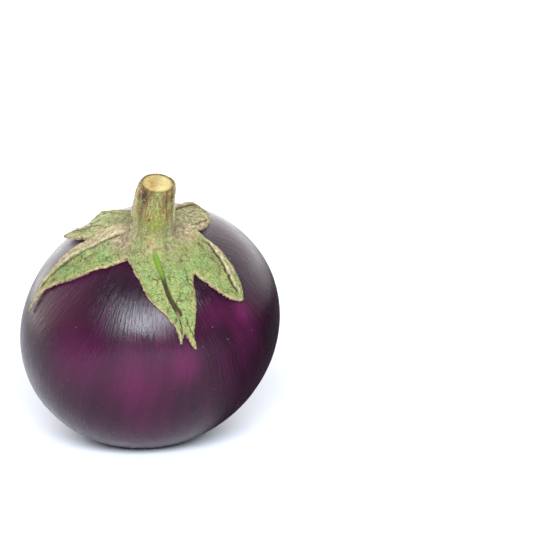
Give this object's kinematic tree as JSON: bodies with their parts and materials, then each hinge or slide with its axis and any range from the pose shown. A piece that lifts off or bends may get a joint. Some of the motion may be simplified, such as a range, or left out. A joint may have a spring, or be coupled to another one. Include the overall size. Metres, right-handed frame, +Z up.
{
  "type": "round eggplant",
  "caption": "Whole round purple eggplant with a pointed-lobed green calyx and a short cut stem, resting on a small flat spot.",
  "frame": {"origin": "centre of the small flat spot that the fruit rests on", "axes": "+Z up, away from the resting spot; the stem leans forward towards -Y; +X to the right seen from the front"},
  "size_m": [0.0859, 0.0864, 0.0936],
  "materials": {
    "skin": "gloss",
    "calyx": "matte",
    "stem": "matte"
  },
  "bodies": {
    "root": {"fruit": "skin", "calyx": "calyx", "stem": "stem"}
  },
  "joints": []
}
